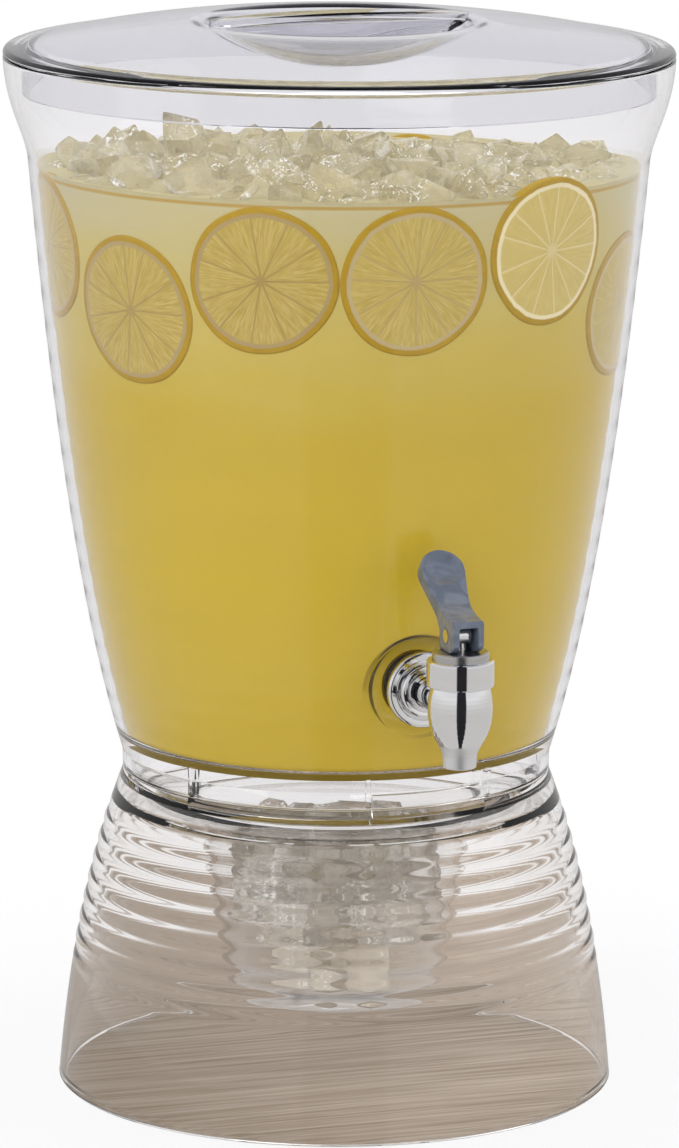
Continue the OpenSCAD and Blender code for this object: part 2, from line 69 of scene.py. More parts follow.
# Offsets that the frame's boxes don't show.
REST_GAP = 0.1               # between the stand's top and the vessel's foot
STAND_FLARE = 29.2           # how much wider the stand's foot is than its neck
RIM_FLARE, RIM_DEPTH = 10.6, 44.5      # from the vessel's waist out and up to its rim
FOOT_DEPTH, FLOOR_RISE = 7.9, 13.3     # from the foot up to the side's start and to the floor
SPOUT_DEPTH = 24.0           # from the spout's mouth up to the tap's axis

FOOT_R = box_mm("stand")[1][0]
STAND_H = vessel_low[2] - REST_GAP
NECK_R = FOOT_R - STAND_FLARE
RIM_R = vessel_high[0]
RIM_Z = vessel_high[2]
WAIST_R = RIM_R - RIM_FLARE
WAIST_Z = RIM_Z - RIM_DEPTH
SIDE_Z = vessel_low[2] + FOOT_DEPTH
FLOOR_Z = vessel_low[2] + FLOOR_RISE
FLOOR_T = 3.0
INSIDE_Z = FLOOR_Z + FLOOR_T
WALL, RIM_WALL = 3.2, 5.0
DRINK_Z = box_mm("beverage")[1][2]
TAP_Z = body_low[2] + SPOUT_DEPTH
TAP_Y = (body_low[1] + body_high[1]) / 2
CUP_Z = cup_low[2]
CUP_FLANGE_R = cup_high[0]


# ---- Mesh helpers ------------------------------------------------------------------------

def curve(points, steps):
    """Points along a cubic curve."""
    p = np.array(points, float)
    t = np.linspace(0, 1, steps + 1)[:, None]
    u = 1 - t
    return u**3 * p[0] + 3 * u * u * t * p[1] + 3 * u * t * t * p[2] + t**3 * p[3]


def arc(centre, radius, start, end, steps):
    a = np.radians(np.linspace(start, end, steps + 1))
    return np.array(centre) + radius * np.stack([np.cos(a), np.sin(a)], 1)


def fade(low, high, x):
    t = np.clip((np.asarray(x, float) - low) / (high - low), 0, 1)
    return t * t * (3 - 2 * t)


def new_mesh(name, verts, faces, smooth_angle=None):
    """An object made from points in millimetres."""
    mesh = bpy.data.meshes.new(name)
    mesh.from_pydata((np.asarray(verts, float) * MM).tolist(), [], [tuple(f) for f in faces])
    mesh.validate()
    bm = bmesh.new()
    bm.from_mesh(mesh)
    bmesh.ops.recalc_face_normals(bm, faces=bm.faces)
    bm.to_mesh(mesh)
    bm.free()
    piece = bpy.data.objects.new(name, mesh)
    scene.collection.objects.link(piece)
    shade(piece, smooth_angle)
    return piece


def shade(piece, smooth_angle):
    """Smooth shading, with edges sharper than the angle kept crisp."""
    mesh = piece.data
    mesh.shade_smooth()
    if smooth_angle is not None:
        mesh.set_sharp_from_angle(angle=math.radians(smooth_angle))


def lathe(name, outline, segments=256, smooth_angle=35):
    """A solid turned about the upright axis from a closed outline of (radius, height)."""
    outline = np.asarray(outline, float)
    verts, rings = [], []
    for r, z in outline:
        if r < 1e-4:
            rings.append([len(verts)])
            verts.append((0, 0, z))
            continue
        rings.append(list(range(len(verts), len(verts) + segments)))
        a = np.arange(segments) * (2 * math.pi / segments)
        verts.extend(np.stack([r * np.cos(a), r * np.sin(a), np.full(segments, z)], 1))
    faces = []
    count = len(outline)
    for i in range(count):
        a, b = rings[i], rings[(i + 1) % count]
        if len(a) == 1 and len(b) == 1:
            continue
        for k in range(segments):
            m = (k + 1) % segments
            if len(a) == 1:
                faces.append((a[0], b[k], b[m]))
            elif len(b) == 1:
                faces.append((a[k], b[0], a[m]))
            else:
                faces.append((a[k], b[k], b[m], a[m]))
    return new_mesh(name, verts, faces, smooth_angle)


def boolean(piece, tool, operation):
    """Applies one boolean and removes the tool."""
    modifier = piece.modifiers.new("cut", "BOOLEAN")
    modifier.operation = operation
    modifier.solver = "EXACT"
    modifier.object = tool
    apply_modifiers(piece)
    bpy.data.objects.remove(tool)


def apply_modifiers(piece):
    bpy.context.view_layer.update()
    evaluated = piece.evaluated_get(bpy.context.evaluated_depsgraph_get())
    mesh = bpy.data.meshes.new_from_object(evaluated)
    piece.modifiers.clear()
    old = piece.data
    piece.data = mesh
    bpy.data.meshes.remove(old)


def bar_along_y(name, near, far, radius, segments=96):
    """A round bar along -Y at the tap's height, from distance near to distance far."""
    a = np.arange(segments) * (2 * math.pi / segments)
    ring = np.stack([radius * np.cos(a), np.zeros(segments), TAP_Z + radius * np.sin(a)], 1)
    verts = np.concatenate([ring + [0, -near, 0], ring + [0, -far, 0]])
    faces = [tuple(range(segments)), tuple(range(2 * segments - 1, segments - 1, -1))]
    faces += [(k, segments + k, segments + (k + 1) % segments, (k + 1) % segments)
              for k in range(segments)]
    return new_mesh(name, verts, faces, 35)


def finish_piece(piece, body, material, slot, *nodes):
    """Gives a piece its material and its body, and hides the CAD nodes that it stands for."""
    piece.data.materials.clear()
    piece.data.materials.append(material)
    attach(piece, body)
    if nodes:
        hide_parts(*nodes)
    return piece


# ---- Material helpers --------------------------------------------------------------------

class Nodes:
    """A small builder for the nodes of a new material, or of a given world."""

    def __init__(self, name, world=None):
        self.owner = world or bpy.data.materials.new(name)
        self.owner.use_nodes = True
        self.tree = self.owner.node_tree
        self.tree.nodes.clear()
        self.out = self.add("ShaderNodeOutputWorld" if world else "ShaderNodeOutputMaterial")

    def add(self, kind, inputs=None, **settings):
        node = self.tree.nodes.new(kind)
        for key, value in settings.items():
            setattr(node, key, value)
        for key, value in (inputs or {}).items():
            self.set(node.inputs[key], value)
        return node

    def set(self, socket, value):
        if isinstance(value, bpy.types.NodeSocket):
            self.tree.links.new(value, socket)
        elif isinstance(value, bpy.types.Node):
            self.tree.links.new(value.outputs[0], socket)
        else:
            socket.default_value = value

    def math(self, operation, a, b=0.0, c=0.0, clamp=False):
        node = self.add("ShaderNodeMath", operation=operation, use_clamp=clamp)
        for i, value in enumerate((a, b, c)):
            self.set(node.inputs[i], value)
        return node.outputs[0]

    def step(self, value, low, high, out_low=0.0, out_high=1.0):
        """Maps value smoothly from low..high to out_low..out_high."""
        node = self.add("ShaderNodeMapRange", {"Value": value, "From Min": low, "From Max": high,
                        "To Min": out_low, "To Max": out_high}, interpolation_type="SMOOTHSTEP")
        return node.outputs["Result"]

    def mix(self, factor, a, b):
        node = self.add("ShaderNodeMix", data_type="RGBA", clamp_factor=True)
        self.set(node.inputs["Factor"], factor)
        self.set(node.inputs[6], a)
        self.set(node.inputs[7], b)
        return node.outputs[2]

    def ramp(self, factor, stops):
        node = self.add("ShaderNodeValToRGB", {"Fac": factor})
        elements = node.color_ramp.elements
        while len(elements) < len(stops):
            elements.new(0.5)
        for element, (position, colour) in zip(elements, stops):
            element.position = position
            element.color = (*colour, 1)
        return node.outputs["Color"]

    def noise(self, vector, scale, detail=3.0, rough=0.5, distortion=0.0):
        node = self.add("ShaderNodeTexNoise", {"Vector": vector, "Scale": scale, "Detail": detail,
                        "Roughness": rough, "Distortion": distortion})
        return node.outputs[0]

    def bump(self, height, distance, strength=1.0):
        node = self.add("ShaderNodeBump", {"Height": height, "Distance": distance, "Strength": strength})
        return node.outputs["Normal"]

    def coords(self):
        return self.add("ShaderNodeTexCoord").outputs["Object"]

    def attribute(self, name):
        return self.add("ShaderNodeAttribute", attribute_name=name).outputs["Vector"]

    def height(self):
        """Height above the table, in metres."""
        return self.add("ShaderNodeSeparateXYZ", {0: self.coords()}).outputs["Z"]

    def stretched(self, scale):
        """Object coordinates with each axis scaled."""
        node = self.add("ShaderNodeMapping", {"Vector": self.coords(), "Scale": scale})
        return node.outputs[0]

    def surface(self, shader):
        self.set(self.out.inputs["Surface"], shader)
        return self.owner


def srgb(r, g, b):
    """A colour given as 0..255 display values."""
    return tuple(((v / 255) / 12.92 if v <= 10 else ((v / 255 + 0.055) / 1.055) ** 2.4) for v in (r, g, b))


def clear_plastic(name, tint, shadow_tint, ior, clear_beyond=None):
    """Clear plastic with faint flow marks and handling marks, which lets light straight through.
    With clear_beyond, the tint fades out towards that radius in millimetres."""
    n = Nodes(name)
    flow = n.noise(n.stretched((9, 9, 26)), 1.0, 2.0)
    smudge = n.step(n.noise(n.stretched((30, 30, 14)), 1.0, 4.0, 0.6), 0.55, 0.75, 0.0, 0.06)
    colour = n.mix(n.math("MULTIPLY", flow, 0.25), (*tint, 1), (*[t * 0.94 for t in tint], 1))
    if clear_beyond:
        flat = n.stretched((1, 1, 0))
        radius = n.add("ShaderNodeVectorMath", {0: flat}, operation="LENGTH").outputs["Value"]
        outside = n.step(radius, (clear_beyond - 3) * MM, clear_beyond * MM)
        colour = n.mix(outside, colour, (0.99, 0.99, 0.99, 1))
    glass = n.add("ShaderNodeBsdfGlass", {"Color": colour, "Roughness": smudge, "IOR": ior,
                  "Normal": n.bump(flow, 0.00004)})
    open_ = n.add("ShaderNodeBsdfTransparent", {"Color": (*shadow_tint, 1)})
    is_shadow = n.add("ShaderNodeLightPath").outputs["Is Shadow Ray"]
    mixed = n.add("ShaderNodeMixShader", {0: is_shadow, 1: glass, 2: open_})
    return n.surface(mixed)


# ---- Vessel ------------------------------------------------------------------------------

FOOT_OUT_R = NECK_R + 0.6
FOOT_IN_R = NECK_R - 4.3
SIDE = [[FOOT_OUT_R + 0.2, SIDE_Z], [FOOT_OUT_R + 18.9, SIDE_Z + 60],
        [WAIST_R - 9.9, SIDE_Z + 153], [WAIST_R, WAIST_Z]]
SHOULDER = [[WAIST_R, WAIST_Z], [WAIST_R + 1.6, WAIST_Z + 12], [RIM_R - 1, WAIST_Z + 22],
            [RIM_R, WAIST_Z + 43]]
PITCH_LOW, PITCH_HIGH = 10.5, 16.0     # spacing of the waves at the bottom and at the top
VESSEL_WAVE = 0.06
WAVE_START, WAVE_END = (155, 172), (396, 412)      # heights over which the waves come and go
BOSS_R, BOSS_Y, BOSS_IN_Y, HOLE_R = 22.0, 110.0, 100.5, 7.0
POCKET_R = 17.0              # room cleared in the wall behind the boss
RIB_W, RIB_IN_R, RIB_ASIDE = 2.0, NECK_R - 8.3, 1.2


def vessel_wave(z):
    """Height of the vessel's moulded waves at a height, from -1 to 1."""
    gain = (PITCH_HIGH - PITCH_LOW) / (WAIST_Z - SIDE_Z - 0.5)
    rise = np.asarray(z, float) - SIDE_Z - 0.5
    turns = np.log(np.maximum(PITCH_LOW + gain * rise, 1) / PITCH_LOW) / gain
    return fade(*WAVE_START, z) * (1 - fade(*WAVE_END, z)) * np.cos(2 * math.pi * turns)


def vessel_side(inset, wave, steps=300):
    p = curve(SIDE, steps)
    p[:, 0] += wave * vessel_wave(p[:, 1]) - inset
    return p


SIDE_TABLE = curve(SIDE, 400)
SHOULDER_TABLE = curve(SHOULDER, 60)
WALL_TABLE = np.concatenate([SIDE_TABLE, SHOULDER_TABLE[1:]])


def wall_radius(z):
    """Outer radius of the vessel at a height, without its waves."""
    return np.interp(z, WALL_TABLE[:, 1], WALL_TABLE[:, 0])


def vessel_outline():
    inner = vessel_side(WALL, 0.6 * VESSEL_WAVE)
    inner = inner[inner[:, 1] > INSIDE_Z + 5]
    corner = curve([[inner[0][0] - 5.5, INSIDE_Z], [inner[0][0] - 2, INSIDE_Z],
                    [inner[0][0] - 0.6, INSIDE_Z + 2], inner[0]], 8)[:-1]
    shoulder = curve(SHOULDER, 36)[1:]
    inner_shoulder = shoulder.copy()
    inner_shoulder[:, 0] -= WALL + (RIM_WALL - WALL) * fade(WAIST_Z, WAIST_Z + 43, shoulder[:, 1])
    foot = [[0, FLOOR_Z], [FOOT_IN_R, FLOOR_Z], [FOOT_IN_R, vessel_low[2] + 0.4],
            [FOOT_IN_R + 0.4, vessel_low[2]], [FOOT_OUT_R - 0.5, vessel_low[2]],
            [FOOT_OUT_R, vessel_low[2] + 0.5]]
    rim = np.concatenate([arc([RIM_R - 1, RIM_Z - 1], 1, 0, 90, 4),
                          arc([RIM_R - RIM_WALL + 1, RIM_Z - 1], 1, 90, 180, 4)])
    return np.concatenate([foot, vessel_side(0, VESSEL_WAVE), shoulder, rim, inner_shoulder[::-1],
                           inner[::-1], corner[::-1], [[0, INSIDE_Z]]])


def build_vessel():
    shell = lathe("vessel_shell", vessel_outline(), 320)
    boolean(shell, bar_along_y("boss", BOSS_IN_Y, BOSS_Y, BOSS_R), "UNION")
    boolean(shell, bar_along_y("cut_a", BOSS_Y, BOSS_Y + 20, BOSS_R + 0.05), "DIFFERENCE")
    boolean(shell, bar_along_y("cut_b", BOSS_IN_Y - 20, BOSS_IN_Y, POCKET_R), "DIFFERENCE")
    boolean(shell, bar_along_y("cut_c", BOSS_IN_Y - 5, BOSS_Y + 5, HOLE_R), "DIFFERENCE")
    for quarter in range(4):
        for edge in (TAB_START - RIB_ASIDE, TAB_START + TAB_SPAN + RIB_ASIDE):
            boolean(shell, upright_slab("rib", edge + 90 * quarter, RIB_IN_R, FOOT_IN_R + 1, RIB_W,
                                        vessel_low[2] + 0.5, FLOOR_Z + 1), "UNION")
    shade(shell, 30)
    material = clear_plastic("vessel_plastic", (0.985, 0.983, 0.985), (0.95, 0.945, 0.94), 1.32)
    return finish_piece(shell, "vessel", material, "vessel_plastic", "vessel")


def upright_slab(name, direction, near, far, width, low, high):
    """A flat upright slab that points outwards in a direction, in degrees from +X."""
    corners = [(x, y, z) for z in (low, high)
               for x, y in ((near, -width / 2), (far, -width / 2), (far, width / 2), (near, width / 2))]
    turn = Matrix.Rotation(math.radians(direction), 3, "Z")
    verts = [turn @ Vector(c) for c in corners]
    faces = [(3, 2, 1, 0), (4, 5, 6, 7), (0, 1, 5, 4), (1, 2, 6, 5), (2, 3, 7, 6), (3, 0, 4, 7)]
    return new_mesh(name, verts, faces, 30)


# ---- Stand -------------------------------------------------------------------------------

STAND_CURVE = [[FOOT_R, 0], [FOOT_R - 4, 50], [NECK_R + 15.8, 101], [NECK_R, STAND_H]]
STAND_PITCH, STAND_WAVE = 9.0, 0.42
RIPPLE_START, RIPPLE_END = (48, 66), (118, 128)    # heights over which the ripples come and go
STAND_WALL = 2.8
LIP_R = NECK_R - 4.6
LIP_Z = STAND_H - 5
LEDGE_Z, LEDGE_R, LEDGE_T = 129.0, 78.0, 2.5
TAB_IN_R, TAB_START, TAB_SPAN, TAB_RISE = 85.5, -99.0, 35.0, 6.0


def stand_side(inset, wave):
    p = curve(STAND_CURVE, 220)
    z = p[:, 1]
    ripple = fade(*RIPPLE_START, z) * (1 - fade(*RIPPLE_END, z)) * np.cos(2 * math.pi * z / STAND_PITCH)
    p[:, 0] += wave * ripple - inset
    return p


def stand_outline():
    outer = stand_side(0, STAND_WAVE)
    inner = stand_side(STAND_WALL, 0.5 * STAND_WAVE)
    below = inner[(inner[:, 1] > 3) & (inner[:, 1] < LEDGE_Z - LEDGE_T - 1)]
    above = inner[(inner[:, 1] > LEDGE_Z + 0.5) & (inner[:, 1] < LIP_Z - 1)]
    lip = np.concatenate([arc([NECK_R - 0.6, STAND_H - 0.6], 0.6, 0, 90, 4),
                          arc([LIP_R + 0.5, STAND_H - 0.5], 0.5, 90, 180, 4)])
    ledge = [[above[0][0], LEDGE_Z], [LEDGE_R + 0.5, LEDGE_Z], [LEDGE_R, LEDGE_Z - 0.5],
             [LEDGE_R, LEDGE_Z - LEDGE_T + 0.5], [LEDGE_R + 0.5, LEDGE_Z - LEDGE_T],
             [below[-1][0], LEDGE_Z - LEDGE_T]]
    foot = [[FOOT_R - 3.5, 1.5], [FOOT_R - 2.9, 0.4], [FOOT_R - 2.2, 0], [FOOT_R - 0.7, 0]]
    outer[0] = [FOOT_R, 0.7]
    return np.concatenate([outer[:-1], lip, [[LIP_R, LIP_Z]], above[::-1], ledge, below[::-1], foot])


def arc_block(name, start, span, near, far, low, high, steps=24):
    """A block that follows a circle from one direction through a span of degrees."""
    a = np.radians(np.linspace(start, start + span, steps + 1))
    ring = [(near, low), (far, low), (far, high), (near, high)]
    verts = [(r * math.cos(t), r * math.sin(t), z) for t in a for r, z in ring]
    faces = [(0, 1, 2, 3), tuple(4 * steps + k for k in (3, 2, 1, 0))]
    faces += [(4 * i + k, 4 * i + (k + 1) % 4, 4 * (i + 1) + (k + 1) % 4, 4 * (i + 1) + k)
              for i in range(steps) for k in range(4)]
    return new_mesh(name, verts, faces, 30)


def build_stand():
    shell = lathe("stand_shell", stand_outline(), 320)
    for quarter in range(4):
        boolean(shell, arc_block("tab", TAB_START + 90 * quarter, TAB_SPAN, TAB_IN_R, LIP_R - 0.2,
                                 LIP_Z + 0.2, STAND_H + TAB_RISE), "UNION")
        boolean(shell, arc_block("root", TAB_START + 90 * quarter, TAB_SPAN, TAB_IN_R + 0.2, LIP_R + 1,
                                 LIP_Z + 0.4, STAND_H - 1), "UNION")
    shade(shell, 30)
    material = clear_plastic("stand_plastic", (0.985, 0.98, 0.975), (0.95, 0.945, 0.94), 1.34)
    return finish_piece(shell, "stand", material, "stand_plastic", "stand")


# ---- Ice cup -----------------------------------------------------------------------------

CUP_R = CUP_FLANGE_R - 21
CUP_WALL = 2.5
CUP_TOP_Z = LEDGE_Z + 0.1
CUP_SIDE = [[CUP_R, CUP_TOP_Z], [CUP_R - 8, 92], [CUP_R - 11, 70], [CUP_R - 14, CUP_Z + 26]]
CUP_BASE = [[CUP_R - 14, CUP_Z + 26], [CUP_R - 17, CUP_Z + 8], [CUP_R - 24, CUP_Z], [0, CUP_Z]]


def cup_line(inset):
    p = np.concatenate([curve(CUP_SIDE, 40), curve(CUP_BASE, 40)[1:]])
    p[:, 0] = np.maximum(p[:, 0] - inset, 0)
    p[:, 1] = np.maximum(p[:, 1], CUP_Z + inset)
    return p


def cup_radius(z):
    """Inner radius of the ice cup at a height."""
    p = cup_line(CUP_WALL)[::-1]
    return float(np.interp(z, p[:, 1], p[:, 0]))


def build_cup():
    outer, inner = cup_line(0), cup_line(CUP_WALL)
    outer = outer[outer[:, 0] > 0.5]
    inner = inner[(inner[:, 0] > 0.5) & (inner[:, 1] > CUP_Z + CUP_WALL + 0.3)]
    top = CUP_TOP_Z + 2.4
    flange = [[CUP_FLANGE_R - 0.4, CUP_TOP_Z], [CUP_FLANGE_R, CUP_TOP_Z + 0.4]]
    flange += list(arc([CUP_FLANGE_R - 1.1, CUP_TOP_Z + 4.9], 1.1, 0, 180, 8))
    flange += [[CUP_FLANGE_R - 2.2, top], [CUP_R - CUP_WALL + 1.5, top]]
    outline = np.concatenate([[[0, CUP_Z]], outer[::-1], flange, inner,
                              [[inner[-1][0] - 3, CUP_Z + CUP_WALL], [0, CUP_Z + CUP_WALL]]])
    cup = lathe("ice_cup_shell", outline, 192)
    material = clear_plastic("cup_plastic", (0.99, 0.99, 0.99), (0.95, 0.95, 0.95), 1.42)
    return finish_piece(cup, "ice_cup", material, "cup_plastic", "ice_cup")


# ---- Lid ---------------------------------------------------------------------------------

LID_Z = RIM_Z + 0.5
DOME_R = RIM_R - 6
DOME_Z = LID_Z + 3.2
BAR_RISE, BAR_ARCH = 3.6, 2.6
BOWL_TOP_Z = lid_high[2] - BAR_RISE
DOME_H = BOWL_TOP_Z - DOME_Z
RECESS_R, RECESS_D, LID_T = 60.0, 17.5, 3.0
EDGE_R, EDGE_T = 2.6, 2.9
BOWL_R = (RECESS_R**2 + RECESS_D**2) / (2 * RECESS_D)
BOWL_Z = BOWL_TOP_Z - RECESS_D + BOWL_R
BAR_W, BAR_L, GRIP_WALL = 14.0, 2 * RECESS_R - 2, 2.5
SKIRT_R, SKIRT_T, SKIRT_Z = RIM_R - RIM_WALL - 3.5, 2.8, lid_low[2]


def dome(r):
    share = (np.maximum(r, RECESS_R) - RECESS_R) / (DOME_R - RECESS_R)
    return DOME_Z + DOME_H * (1 - share**1.6)


def bar_top(r):
    return BOWL_TOP_Z + BAR_RISE - BAR_ARCH * (np.asarray(r, float) / RECESS_R) ** 2


def bowl(r):
    return BOWL_Z - np.sqrt(BOWL_R**2 - np.asarray(r, float) ** 2)


def lid_outline():
    r_dome = np.linspace(RECESS_R + 3.5, DOME_R, 48)
    r_bowl = np.linspace(0, RECESS_R - 2.5, 40)
    edge_z = float(bowl(RECESS_R - 2.5))
    edge = curve([[RECESS_R - 2.5, edge_z], [RECESS_R - 1, edge_z + 0.9],
                  [RECESS_R + 1, BOWL_TOP_Z], [RECESS_R + 3.5, float(dome(RECESS_R + 3.5))]], 12)
    rim = arc([RIM_R - EDGE_R, LID_Z + EDGE_T - EDGE_R], EDGE_R, 80, 4, 12)
    skirt_top = float(dome(SKIRT_R - SKIRT_T) - LID_T)
    skirt = [[RIM_R - 0.3, LID_Z], [SKIRT_R + 0.6, LID_Z], [SKIRT_R, LID_Z - 0.6],
             [SKIRT_R, SKIRT_Z + 0.5], [SKIRT_R - 0.5, SKIRT_Z], [SKIRT_R - SKIRT_T + 0.5, SKIRT_Z],
             [SKIRT_R - SKIRT_T, SKIRT_Z + 0.5], [SKIRT_R - SKIRT_T, skirt_top - 1],
             [SKIRT_R - SKIRT_T - 1, skirt_top]]
    under_dome = np.stack([r_dome[::-1], dome(r_dome[::-1]) - LID_T], 1)
    under_dome = under_dome[under_dome[:, 0] < SKIRT_R - SKIRT_T - 2]
    under_bowl = np.stack([r_bowl[::-1], bowl(r_bowl[::-1]) - LID_T], 1)
    return np.concatenate([np.stack([r_bowl, bowl(r_bowl)], 1), edge[1:-1],
                           np.stack([r_dome, dome(r_dome)], 1), rim, skirt, under_dome,
                           [[RECESS_R + 0.6, BOWL_TOP_Z - LID_T - 0.3]], under_bowl])


def stadium(width, length, steps):
    """Outline of a bar with round ends, along X."""
    half, r = (length - width) / 2, width / 2
    right = arc([half, 0], r, -90, 90, steps)
    left = arc([-half, 0], r, 90, 270, steps)
    straight = np.linspace(-half, half, 40)[1:-1]
    low = np.stack([straight, np.full(len(straight), -r)], 1)
    return np.concatenate([low, right, -low, left])


def grip_block(name, width, length, low, drop):
    """A bar with an arched top, dropped by drop, that reaches down to a height or a function of radius."""
    rings = []
    for share in (0.0, 0.9, 1.0):
        plan = stadium(width, length, 12)
        r = np.hypot(plan[:, 0], plan[:, 1])
        top = bar_top(r) - drop
        bottom = low(r) if callable(low) else np.full(len(r), low)
        rings.append(np.column_stack([plan, bottom + (top - bottom) * share]))
    count = len(rings[0])
    verts = np.concatenate(rings)
    faces = []
    for i in range(2):
        faces += [(i * count + k, i * count + (k + 1) % count, (i + 1) * count + (k + 1) % count,
                   (i + 1) * count + k) for k in range(count)]
    cap = [tuple(reversed(range(count))), tuple(range(2 * count, 3 * count))]
    return new_mesh(name, verts, faces + cap, 35)


def build_lid():
    shell = lathe("lid_shell", lid_outline(), 320)
    boolean(shell, grip_block("bar", BAR_W, BAR_L, lambda r: bowl(r) - LID_T / 2, 0), "UNION")
    boolean(shell, grip_block("hollow", BAR_W - 2 * GRIP_WALL, BAR_L - 2 * GRIP_WALL,
                              float(bowl(0)) - 12, LID_T), "DIFFERENCE")
    shade(shell, 30)
    material = clear_plastic("lid_plastic", (0.925, 0.925, 0.94), (0.94, 0.94, 0.95), 1.33, DOME_R)
    return finish_piece(shell, "lid", material, "lid_plastic", "lid")


# ---- Drink -------------------------------------------------------------------------------

DRINK_GAP = 1.0
LEVEL_Z = DRINK_Z + 1.5
NUT_ROOM_R, NUT_ROOM_Y = 15.0, 84.0    # room in the drink for the nut behind the tap
DRINK_CUT_END = 125.0        # beyond the wall


def drink_material():
    """Cloudy lemonade, deeper in colour lower down and lightened there as painted light, with a faint
    painted glow.
    """
    n = Nodes("lemonade")
    height = n.height()
    level = n.add("ShaderNodeMapRange", {"Value": height, "From Min": INSIDE_Z * MM,
                  "From Max": DRINK_Z * MM}).outputs["Result"]
    cloud = n.noise(n.stretched((7, 7, 22)), 1.0, 4.0, 0.55, 0.4)
    wisps = n.noise(n.stretched((10, 10, 60)), 1.0, 3.0, 0.5, 0.8)
    shifted = n.math("ADD", level, n.math("MULTIPLY", n.math("SUBTRACT", cloud, 0.5), 0.16))
    shifted = n.math("ADD", shifted, n.math("MULTIPLY", n.math("SUBTRACT", wisps, 0.5), 0.10))
    # Painted light: the lowest stops are lighter, making up for the dimmer light low in the vessel.
    colour = n.ramp(shifted, [(0.0, srgb(206, 179, 65)), (0.35, srgb(201, 174, 53)),
                              (0.62, srgb(195, 169, 60)), (0.82, srgb(197, 179, 100)),
                              (1.0, srgb(190, 181, 142))])
    # Painted shade: a darker golden line just under the surface, where the meniscus bends the light.
    line = n.math("MULTIPLY", n.step(height, (LEVEL_Z - 3.4) * MM, (LEVEL_Z - 2.6) * MM),
                  n.step(height, (LEVEL_Z - 1.8) * MM, (LEVEL_Z - 1.3) * MM, 0.8, 0.0))
    colour = n.mix(line, colour, (*srgb(176, 142, 58), 1))
    # The faint emission is a painted glow that lifts the drink's shade.
    shader = n.add("ShaderNodeBsdfPrincipled", {"Base Color": colour, "Roughness": 0.5,
                   "Specular IOR Level": 0.02, "Emission Color": colour, "Emission Strength": 0.05})
    return n.surface(shader)


def build_drink():
    side = vessel_side(WALL + DRINK_GAP, 0.3 * VESSEL_WAVE)
    side = side[(side[:, 1] > INSIDE_Z + 4) & (side[:, 1] < LEVEL_Z - 1)]
    base_z = INSIDE_Z - 0.1
    base = curve([[side[0][0] - 4, base_z], [side[0][0] - 1.5, base_z],
                  [side[0][0] - 0.4, base_z + 2], side[0]], 6)[:-1]
    edge_r = side[-1][0]
    meniscus = [[edge_r + 0.6, LEVEL_Z + 0.2], [edge_r - 0.4, LEVEL_Z - 0.2],
                [edge_r - 2.5, LEVEL_Z - 1.0]]
    top = [[r, LEVEL_Z - 1.2] for r in np.linspace(edge_r - 8, 0, 12)]
    drink = lathe("lemonade", np.concatenate([[[0, base_z]], base, side, meniscus, top]), 256)
    boolean(drink, bar_along_y("boss_room", BOSS_IN_Y - DRINK_GAP, DRINK_CUT_END, BOSS_R + DRINK_GAP),
            "DIFFERENCE")
    boolean(drink, bar_along_y("nut_room", NUT_ROOM_Y, DRINK_CUT_END, NUT_ROOM_R), "DIFFERENCE")
    shade(drink, 30)
    return finish_piece(drink, "vessel", drink_material(), "lemonade", "beverage")


# ---- Lemon slices ------------------------------------------------------------------------

SLICE_R, SLICE_T = 32.0, 5.0
RIND_R, PITH_R, CORE_R = 29.3, 27.5, 1.6
# Direction from -Y towards +X, height, and how pale the pith is, of each slice.
SLICES = [(-92, 378, 0.25), (-62.5, 358.5, 0.15), (-33.6, 376, 0.1), (-4.6, 376, 0.3), (24.4, 385, 1.0),
          (52, 354, 0.4), (83, 374, 0.4), (114, 364, 0.2), (145, 379, 0.5), (177, 361, 0.3),
          (208, 377, 0.6), (239, 363, 0.2)]
WEDGE_STEPS = (0.0, 0.04, 0.12, 0.25, 0.4, 0.6, 0.75, 0.88, 0.96)


def slice_rings():
    """Radius share and depth of each ring of a slice, from the middle of its face round to its back."""
    face = [(r, 0.15) for r in np.linspace(0, 0.965, 20)]
    rim = [(0.965 + 0.035 * math.sin(a), 1.05 - 0.9 * math.cos(a))
           for a in np.radians([20, 40, 60, 80, 90])]
    back = [(1.0, SLICE_T - 1.0), (0.985, SLICE_T - 0.3), (0.95, SLICE_T), (0.0, SLICE_T)]
    return face + rim + back


def slice_points(direction, height, rng):
    """Points of one slice bent to the vessel's wall, with the values that its material reads."""
    count = rng.choice((11, 12, 12, 13))
    cuts = [(k + rng.uniform(-0.16, 0.16)) / count * 2 * math.pi for k in range(count)]
    phases = [rng.uniform(0, 2 * math.pi) for _ in range(3)]
    spokes = []
    for k in range(count):
        start, end = cuts[k], cuts[(k + 1) % count] + (2 * math.pi if k == count - 1 else 0)
        spokes += [(start + (end - start) * f, f) for f in WEDGE_STEPS]
    reach = wall_radius(height) - WALL - 2
    points, places, grains = [], [], []
    for share, depth in slice_rings():
        for angle, f in spokes:
            edge = SLICE_R * (1 + 0.012 * math.sin(2 * angle + phases[0])
                              + 0.009 * math.sin(3 * angle + phases[1])
                              + 0.004 * math.sin(7 * angle + phases[2]))
            r = share * edge
            wide = 2 * math.pi / count * r
            off = min(f, 1 - f) * wide
            inside = CORE_R < r < PITH_R and depth < 1
            sink = 0.25 * (1 - math.sqrt(math.sin(math.pi * f))) if inside else 0.0
            d = depth + sink
            x, y = r * math.cos(angle), r * math.sin(angle)
            z = height + y * 0.992
            turn = math.radians(direction) + x / reach
            out = float(wall_radius(z)) - WALL - 0.1 - d
            points.append((out * math.sin(turn), -out * math.cos(turn), z))
            places.append((r * SLICE_R / edge, off, 0))
            grains.append((math.cos(angle), math.sin(angle), r * 0.006))
    return points, places, grains, len(spokes)


